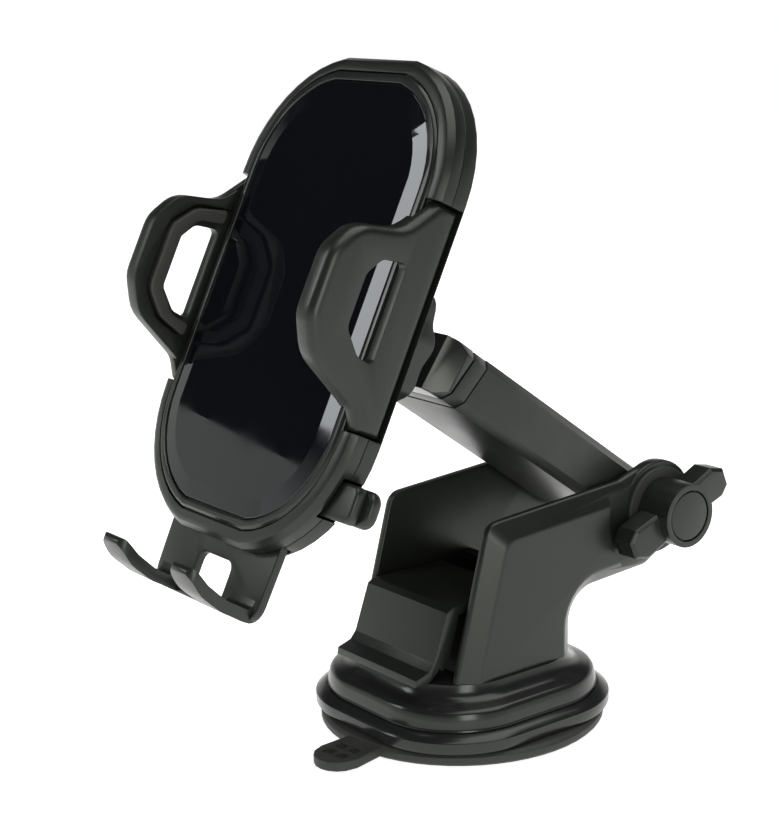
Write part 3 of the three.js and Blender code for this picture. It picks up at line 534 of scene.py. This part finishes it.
wall_corners = [
    (FRONT_TOP[0] - FRONT_LEAN * (FRONT_TOP[1] - COLUMN_FOOT + 6), COLUMN_FOOT - 6, 0), (*FRONT_TOP, 0),
    (pivot.y - 12.5, FRONT_TOP[1] + 2.7, 5), *ear_arc(112, -62, 26), (pivot.y - 3, pivot.z - 15.8, 4),
    (REAR_Y + 0.4, pivot.z - 17.4, 9), (REAR_Y, COLUMN_FOOT - 6, 0)]
wall = plate("wall", wall_corners, WALL_IN - 0.05, WALL_OUT - BEVEL_RISE)
inset_side(wall, 1, [(0.5, 0.35), (BEVEL_WIDTH - 0.5, BEVEL_RISE - 0.35)])
corner_edges(wall, lambda y, z: abs(y - FRONT_TOP[0]) < 6 and z > FRONT_TOP[1] - 8)
bpy.ops.mesh.bevel(offset=FRONT_ROUND * MM, segments=5, affect="EDGES")
bpy.ops.object.mode_set(mode="OBJECT")
eased(wall, 1.3, angle=18, segments=4)
worked(wall, plate("seat", round_pivot(SEAT_R, 6), WALL_OUT - EAR_SEAT, WALL_OUT + 2), "DIFFERENCE")
boss = plate("boss", round_pivot(BOSS_R, 5), WALL_IN + 0.5, WALL_OUT - EAR_SEAT + 0.04)
eased(boss, 0.5, angle=40)
worked(wall, boss, "UNION")
below_corners = [(-60, -20, 0), (-60, COLUMN_FOOT, 0), (90, COLUMN_FOOT, 0), (90, -20, 0)]
worked(wall, plate("below", below_corners, WALL_IN - 5, WALL_OUT + 5), "DIFFERENCE")
worked(wall, plate("bolt_bore", round_pivot(BORE_R, 12), WALL_IN - 5, WALL_OUT + 5), "DIFFERENCE")

core = merged_copy("base_housing", "trough_housing")
between_corners = [(-60, COLUMN_FOOT - 5, 0), (-60, 90, 0), (90, 90, 0), (90, COLUMN_FOOT - 5, 0)]
worked(core, plate("between_walls", between_corners, 0.02 - WALL_IN, WALL_IN - 0.02), "INTERSECT")
worked(core, mirrored(wall, "left_wall"), "UNION")
worked(core, wall, "UNION")
only(core)
bpy.ops.object.shade_smooth_by_angle(angle=radians(40))
fitted(core, "base", satin_black, "satin_black", "base_housing")

# ---------- suction lever ----------
# A satin black flap that closes the front of the trough. It turns on a steel pin and lifts the stem, and
# its bottom edge flares out as a lip for a finger.
lever = eased(merged_copy("suction_lever", "locking_lever"), 0.8, angle=20, segments=4, smooth=42)
fitted(lever, "lever", satin_black, "satin_black", "suction_lever")
bright_steel = moulded("bright_steel", (0.55, 0.56, 0.57), 0.28, fineness=400, bump=0.02, edge_sheen=0.1, dust=0)
bright_steel.node_tree.nodes["Principled BSDF"].inputs["Metallic"].default_value = 1
fitted(eased(merged_copy("lever_pin", "hinge_pin"), 0.2), "base", bright_steel, "steel", "lever_pin")

# ---------- pivot bolt, washers and knob ----------
# A steel bolt through both ears, with a plain cap over its head, rubber washers, and at the right a wing
# knob whose nut clamps the arm. The knob's face is closed by a small inset cap.
fitted(eased(merged_copy("pivot_bolt", "clamp_bolt"), 0.3), "base", bright_steel, "steel", "pivot_bolt")
fitted(eased(merged_copy("bolt_cap", "bolt_head_cap"), 0.7, segments=4), "base", satin_black,
       "satin_black", "bolt_cap")
for node, body in (("washer_right", "base"), ("washer_left", "base"), ("knob_washer", "base")):
    fitted(eased(merged_copy(node, node + "_disc"), 0.25), body, soft_rubber, "soft_rubber", node)
knob = eased(merged_copy("clamp_knob", "wing_knob"), 0.9, angle=24, segments=4, smooth=40)
fitted(knob, "knob", satin_black, "satin_black", "clamp_knob")
fitted(eased(merged_copy("knob_nut", "captive_nut"), 0.2), "knob", bright_steel, "steel", "knob_nut")
fitted(eased(merged_copy("knob_cap", "knob_face_cap"), 0.35), "knob", satin_black, "satin_black",
       "knob_cap")

# ---------- arm ----------
# A flat rectangular sleeve of satin ABS that the inner arm slides in, a collar on its open end that grips
# the inner arm, and a glossy head that carries the ball stud.
fitted(eased(merged_copy("arm_sleeve", "outer_sleeve"), 0.35, angle=24, segments=3, smooth=30), "sleeve",
       satin_black, "satin_black", "arm_sleeve")
fitted(eased(merged_copy("sleeve_collar", "end_collar"), 0.25, angle=24, segments=2, smooth=30), "sleeve",
       satin_black, "satin_black", "sleeve_collar")
fitted(eased(merged_copy("inner_arm", "sliding_arm"), 0.4), "boom", satin_black, "satin_black", "inner_arm")
fitted(eased(merged_copy("arm_head", "tapered_head"), 0.4, angle=16, segments=3, smooth=15), "boom",
       gloss_black, "gloss_black", "arm_head")
fitted(eased(merged_copy("ball_stud", "ball_and_neck"), 0.3, angle=40), "boom", bright_steel, "steel",
       "ball_stud")

# ---------- ball joint ----------
# The ball sits in two soft liners inside a socket on the cradle's back, and a scalloped ring nut screws
# over the socket and squeezes them.
fitted(eased(merged_copy("ball_liner_front", "front_liner"), 0.1), "swivel_liner", soft_rubber,
       "soft_rubber", "ball_liner_front")
fitted(eased(merged_copy("ball_liner_rear", "rear_liner"), 0.1), "tilt_liner", soft_rubber, "soft_rubber",
       "ball_liner_rear")
fitted(eased(merged_copy("ball_socket", "socket_boss"), 0.4), "cradle", satin_black, "satin_black",
       "ball_socket")
fitted(eased(merged_copy("ring_nut", "scalloped_nut"), 0.5, angle=28), "lock_nut", satin_black,
       "satin_black", "ring_nut")

# ---------- cradle shells ----------
# Two satin ABS shells, a front frame and a rear shell, screwed together from behind round the charging
# coil.
fitted(eased(merged_copy("rear_shell", "back_cover"), 0.7, angle=24, segments=3), "cradle", satin_black,
       "satin_black", "rear_shell")
fitted(eased(merged_copy("front_frame", "front_surround"), 0.35, angle=24, segments=3), "cradle",
       satin_black, "satin_black", "front_frame")
for number in range(1, 5):
    fitted(eased(merged_copy(f"case_screw_{number}", f"case_screw_head_{number}"), 0.15), "cradle",
           bright_steel, "steel", f"case_screw_{number}")
fitted(eased(merged_copy("usb_port", "socket_shell"), 0.2), "cradle", bright_steel, "steel", "usb_port")

enamelled = moulded("enamelled_copper", (0.6, 0.32, 0.16), 0.35, fineness=900, bump=0.1, edge_sheen=0.1, dust=0)
enamelled.node_tree.nodes["Principled BSDF"].inputs["Metallic"].default_value = 1
solder_mask = moulded("solder_mask", (0.03, 0.14, 0.05), 0.4, fineness=700, bump=0.05, edge_sheen=0.1, dust=0)
ferrite = moulded("pressed_ferrite", (0.03, 0.03, 0.032), 0.5, fineness=1200, bump=0.15, edge_sheen=0.1, dust=0)
fitted(eased(merged_copy("charging_coil", "wound_coil"), 0.3), "cradle", enamelled, "copper",
       "charging_coil")
fitted(eased(merged_copy("coil_ferrite", "ferrite_disc"), 0.2), "cradle", ferrite, "gloss_black",
       "coil_ferrite")
fitted(eased(merged_copy("circuit_board", "driver_board"), 0.15), "cradle", solder_mask, "circuit_green",
       "circuit_board")

# ---------- glass and bezel ----------
# A sheet of black-backed glass with a wide polished bevel, in a thin glossy ring.
black_glass = moulded("black_glass", (0.0035, 0.0042, 0.006), 0.035, bump=0.0, edge_sheen=0, dust=0)
black_glass.node_tree.nodes["Principled BSDF"].inputs["Specular IOR Level"].default_value = 0.5
black_glass.node_tree.nodes["Principled BSDF"].inputs["Specular Tint"].default_value = (0.96, 0.98, 1, 1)
fitted(eased(merged_copy("glass_panel", "bevelled_glass"), 0.1, angle=20, segments=2, smooth=5), "cradle",
       black_glass, "black_glass", "glass_panel")
fitted(eased(merged_copy("bezel_ring", "glossy_bezel"), 0.2, angle=24, segments=3), "cradle", gloss_black,
       "gloss_black", "bezel_ring")

# ---------- clamp arms ----------
# Two satin ABS jaws that slide on racks. Each is a plate with a window, rounded to the outside and recessed
# on its inner face, where a soft grey rubber pad lies round the window.
back_way = -Vector(mounts["phone_face"]["axis"])
glass_middle = Vector(mounts["phone_face"]["pos_m"])
CRADLE = Matrix((Vector((1, 0, 0)), back_way, Vector((1, 0, 0)).cross(back_way))).transposed().to_4x4()
CRADLE.translation = glass_middle


def stood_in(piece, place):
    """Moves a piece that was drawn in its own frame to where it belongs."""
    only(piece)
    piece.matrix_world = place
    bpy.ops.object.transform_apply(location=True, rotation=True, scale=True)
    return piece


JAW_IN, JAW_OUT = 36.3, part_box("clamp_right")[1].x / MM
JAW_HALF, JAW_FRONT, JAW_BACK = 27.4, -21.2, 8.9
PAD_RISE, JAW_ROUND = 1.8, 2.6
RACK_CUT, RACK_INTO = 0.6, 1.4
jaw_corners = [
    (JAW_BACK, -JAW_HALF, 0), (2.0, -JAW_HALF, 0), (-1.0, -22.6, 6), (-16.4, -15.6, 9),
    (JAW_FRONT, -7.4, 8), (JAW_FRONT, 8.0, 8.5), (-16.6, 15.4, 8), (-4.4, 18.6, 9), (2.6, JAW_HALF, 0),
    (JAW_BACK, JAW_HALF, 0)]
window_corners = [(-0.6, -12.2, 1.4), (-0.6, 11.7, 1.4), (-7.6, 10.4, 3), (-10.6, 6.0, 3), (-10.6, -6.6, 3),
                  (-5.4, -11.6, 2.4)]
pad_corners = [(-1.4, -17.0, 1), (-10.0, -14.4, 5), (-15.8, -8.6, 5), (-15.8, 8.0, 5), (-10.6, 14.2, 5),
               (-1.4, 16.8, 1), (-1.4, 13.2, 0.8), (-8.4, 11.9, 3.4), (-12.0, 6.8, 3.4), (-12.0, -7.3, 3.4),
               (-7.0, -12.7, 3), (-1.4, -13.6, 0.8)]
pad_rubber = moulded("pad_rubber", (0.032, 0.031, 0.029), 0.6, fineness=1500, bump=0.12, edge_sheen=0.1, dust=0.04)
jaw = plate("right_jaw_arm", jaw_corners, JAW_IN - PAD_RISE, JAW_OUT)
faces_where(jaw, lambda f: f.normal.x > 0.99)
bpy.ops.mesh.bevel(offset=JAW_ROUND * MM, segments=6, affect="EDGES")
bpy.ops.object.mode_set(mode="OBJECT")
worked(jaw, plate("window", window_corners, JAW_IN - 5, JAW_OUT + 5), "DIFFERENCE")
recess_corners = [(2, -18.4, 0), (-10.6, -15.4, 5.6), (-16.8, -9.0, 5.6), (-16.8, 8.5, 5.6),
                  (-11.2, 15.0, 5.6), (2, 17.9, 0)]
worked(jaw, plate("recess", recess_corners, JAW_IN - 4, JAW_IN + 1.1), "DIFFERENCE")
behind_corners = [(-1.2, -40, 0), (-1.2, 40, 0), (30, 40, 0), (30, -40, 0)]
worked(jaw, plate("behind_glass", behind_corners, JAW_IN - 9, JAW_IN + 0.02), "DIFFERENCE")
eased(jaw, 0.35, angle=35, segments=3)
pad = eased(plate("right_jaw_pad", pad_corners, JAW_IN - PAD_RISE - 0.2, JAW_IN + 1.05), 0.7, angle=30,
            segments=4)
rack = merged_copy("clamp_right", "right_rack")
left_rack = merged_copy("clamp_left", "left_rack")
# Each rack is cut off short of its clamp arm, and its end is then drawn out into the arm.
for sign, strip in ((1, rack), (-1, left_rack)):
    only(strip)
    bpy.ops.object.mode_set(mode="EDIT")
    bpy.ops.mesh.select_all(action="SELECT")
    bpy.ops.mesh.bisect(plane_co=(sign * (JAW_IN - RACK_CUT) * MM, 0, 0), plane_no=(sign, 0, 0),
                        clear_outer=True, use_fill=True)
    bpy.ops.object.mode_set(mode="OBJECT")
    cut_x = (JAW_IN - RACK_CUT - 0.1) * MM
    faces_where(strip, lambda f: f.normal.x * sign > 0.99 and f.center.x * sign > cut_x)
    bpy.ops.transform.translate(value=(sign * RACK_INTO * MM, 0, 0))
    bpy.ops.object.mode_set(mode="OBJECT")
left_jaw = mirrored(jaw, "left_jaw_arm")
left_pad = mirrored(pad, "left_jaw_pad")
for arm, cushion, strip, side in ((jaw, pad, rack, "right"), (left_jaw, left_pad, left_rack, "left")):
    stood_in(arm, CRADLE)
    stood_in(cushion, CRADLE)
    worked(arm, strip, "UNION")
    only(arm)
    bpy.ops.object.shade_smooth_by_angle(angle=radians(38))
    fitted(arm, f"{side}_jaw", satin_black, "satin_black", f"clamp_{side}")
    fitted(cushion, f"{side}_jaw", pad_rubber, "soft_rubber", f"pad_{side}")
fitted(eased(merged_copy("pinion_gear", "jaw_pinion"), 0.15), "pinion", gloss_black, "gloss_black",
       "pinion_gear")

# ---------- release button and foot ----------
# The button springs out at the right and frees the jaws; the foot slides in a slot at the bottom and its
# two prongs hold the phone's lower edge.
FACING = CRADLE @ Matrix.Rotation(radians(-90), 4, "Z")
BUTTON_LOW, BUTTON_HIGH = -47.2, -38.3
BUTTON_IN, BUTTON_OUT = 29.2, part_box("release_button")[1].x / MM
front_block = [(BUTTON_IN, BUTTON_LOW, 0), (BUTTON_OUT - 2.4, BUTTON_LOW, 2.4),
               (BUTTON_OUT - 2.4, BUTTON_HIGH, 2.4), (BUTTON_IN, BUTTON_HIGH, 0)]
rear_block = [(BUTTON_IN, BUTTON_LOW + 0.1, 0), (BUTTON_OUT, BUTTON_LOW + 0.1, 3.2),
              (BUTTON_OUT, BUTTON_HIGH - 0.1, 3.2), (BUTTON_IN, BUTTON_HIGH - 0.1, 0)]
button = eased(plate("jaw_release", front_block, -7.4, -4.2), 0.8, angle=40, segments=4)
rear = eased(plate("rear_half", rear_block, -10.3, -7.1), 1.1, angle=40, segments=4)
stood_in(worked(button, rear, "UNION"), FACING)
only(button)
bpy.ops.object.shade_smooth_by_angle(angle=radians(38))
fitted(button, "button", satin_black, "satin_black", "release_button")
FOOT_WIDE, FOOT_THICK, PRONG_MIDDLE, PRONG_WIDE = 23.4, (5.95, 8.15), 15.4, 9.8
PRONG_TIP = -14.1
foot_corners = [(-FOOT_WIDE, -46, 0), (FOOT_WIDE, -46, 0), (FOOT_WIDE - 1.2, -76.4, 5),
                (1.2 - FOOT_WIDE, -76.4, 5)]
foot_hole = [(-7, -64.6, 2.4), (7, -64.6, 2.4), (7, -74.4, 2.4), (-7, -74.4, 2.4)]
prong_side = [(8.1, -70.4, 0.4), (8.1, -76.3, 2.2), (-2.0, -75.5, 9), (-9.0, -73.4, 9), (-14.0, -69.6, 1.0),
              (-13.2, -67.6, 1.0), (-8.0, -70.5, 7), (-2.0, -72.5, 9), (5.6, -73.2, 1.2), (6.0, -70.4, 0.4)]
PLAN = CRADLE @ Matrix(((0, 1, 0, 0), (0, 0, 1, 0), (1, 0, 0, 0), (0, 0, 0, 1)))
foot = plate("two_prong_foot", foot_corners, -FOOT_THICK[1], -FOOT_THICK[0])
worked(foot, plate("foot_window", foot_hole, -FOOT_THICK[1] - 2, -FOOT_THICK[0] + 2), "DIFFERENCE")
stood_in(eased(foot, 0.5, angle=40), FACING)
for middle in (-PRONG_MIDDLE, PRONG_MIDDLE):
    prong = stood_in(plate("prong", prong_side, middle - PRONG_WIDE, middle + PRONG_WIDE), CRADLE)
    near, far = middle - PRONG_WIDE / 2, middle + PRONG_WIDE / 2
    tip_corners = [(near, 12, 0), (far, 12, 0), (far, PRONG_TIP, 3.4), (near, PRONG_TIP, 3.4)]
    rounded_tip = plate("rounded_tip", tip_corners, -90, -50)
    worked(prong, stood_in(rounded_tip, PLAN), "INTERSECT")
    eased(prong, 0.8, angle=35, segments=4)
    only(foot)
    prong.select_set(True)
    bpy.ops.object.join()
only(foot)
bpy.ops.object.shade_smooth_by_angle(angle=radians(38))
fitted(foot, "foot", satin_black, "satin_black", "foot_hook")
